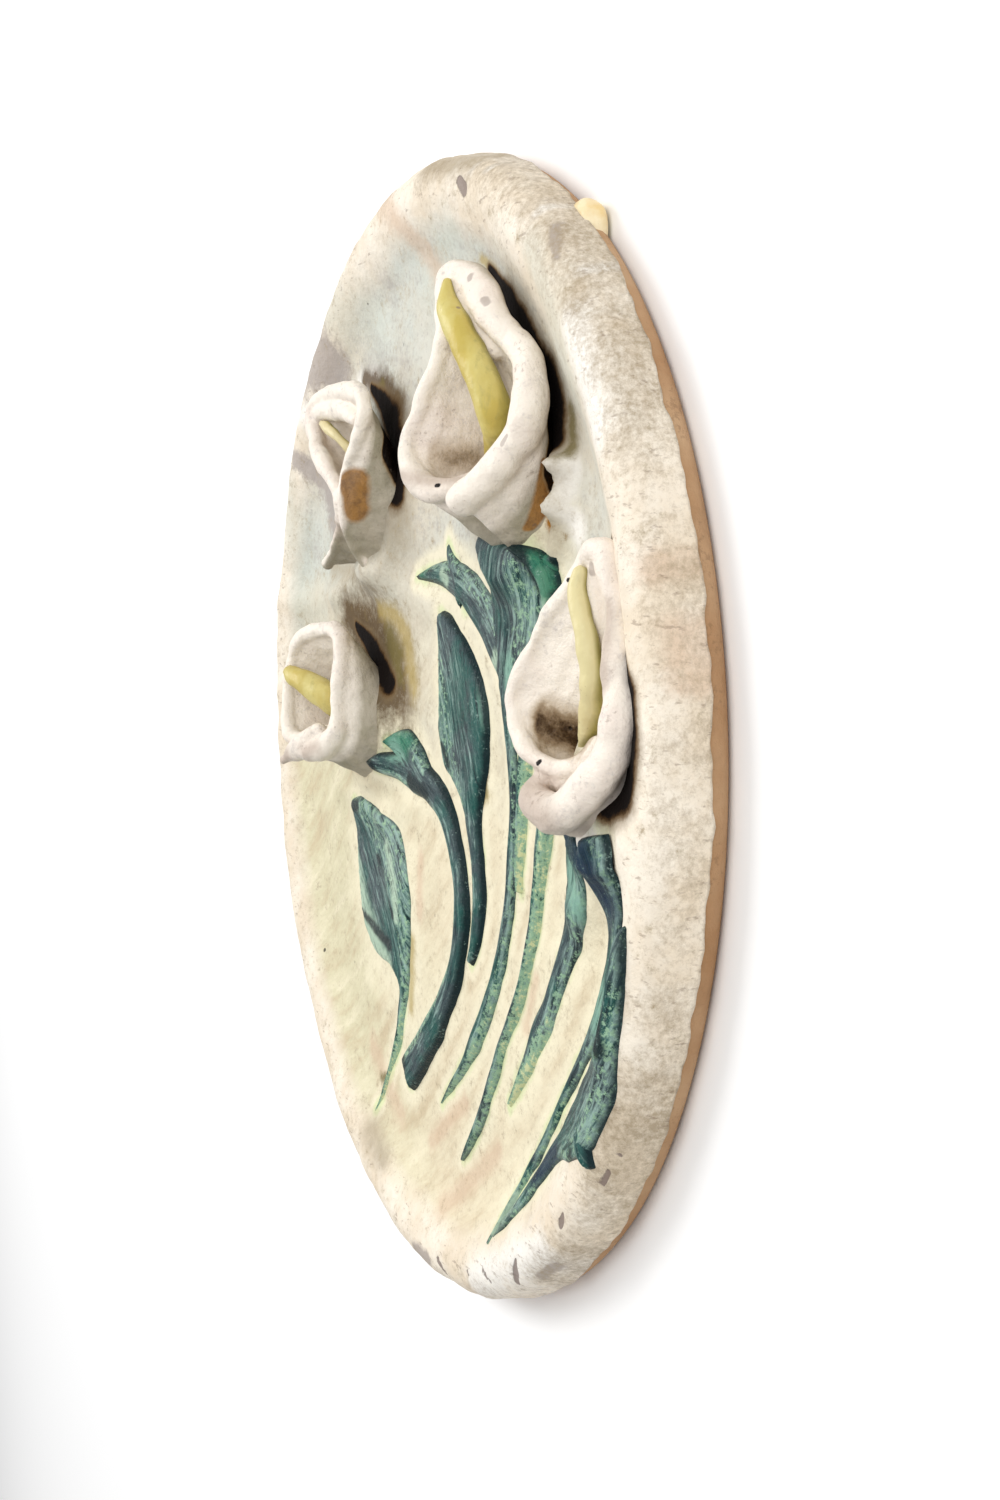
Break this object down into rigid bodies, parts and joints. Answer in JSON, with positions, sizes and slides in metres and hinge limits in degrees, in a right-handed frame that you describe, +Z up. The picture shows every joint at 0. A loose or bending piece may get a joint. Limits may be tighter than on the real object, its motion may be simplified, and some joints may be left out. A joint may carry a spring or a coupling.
{
  "type": "decorative wall plate",
  "caption": "Round glazed clay wall plate with a rolled rim, arum lilies standing out in high relief, and leaves and stems in low relief.",
  "frame": {"origin": "middle of the flat back, where the plate lies against the wall", "axes": "+Z up as it hangs, -Y out of the wall towards the viewer, +X to the viewer's right"},
  "size_m": [0.35, 0.0427, 0.35],
  "materials": {
    "cream_glaze": "warm cream glaze, crackled, speckled brown where it pools and greenish over the field",
    "petal_glaze": "pinkish white glaze, pitted, brown in the hollows",
    "leaf_glaze": "dark blue-green glaze, thin and pale on the veins",
    "spadix_glaze": "mustard yellow glaze",
    "bare_clay": "bare tan fired clay"
  },
  "bodies": {
    "root": {"wall_plate": "cream_glaze"}
  },
  "joints": []
}
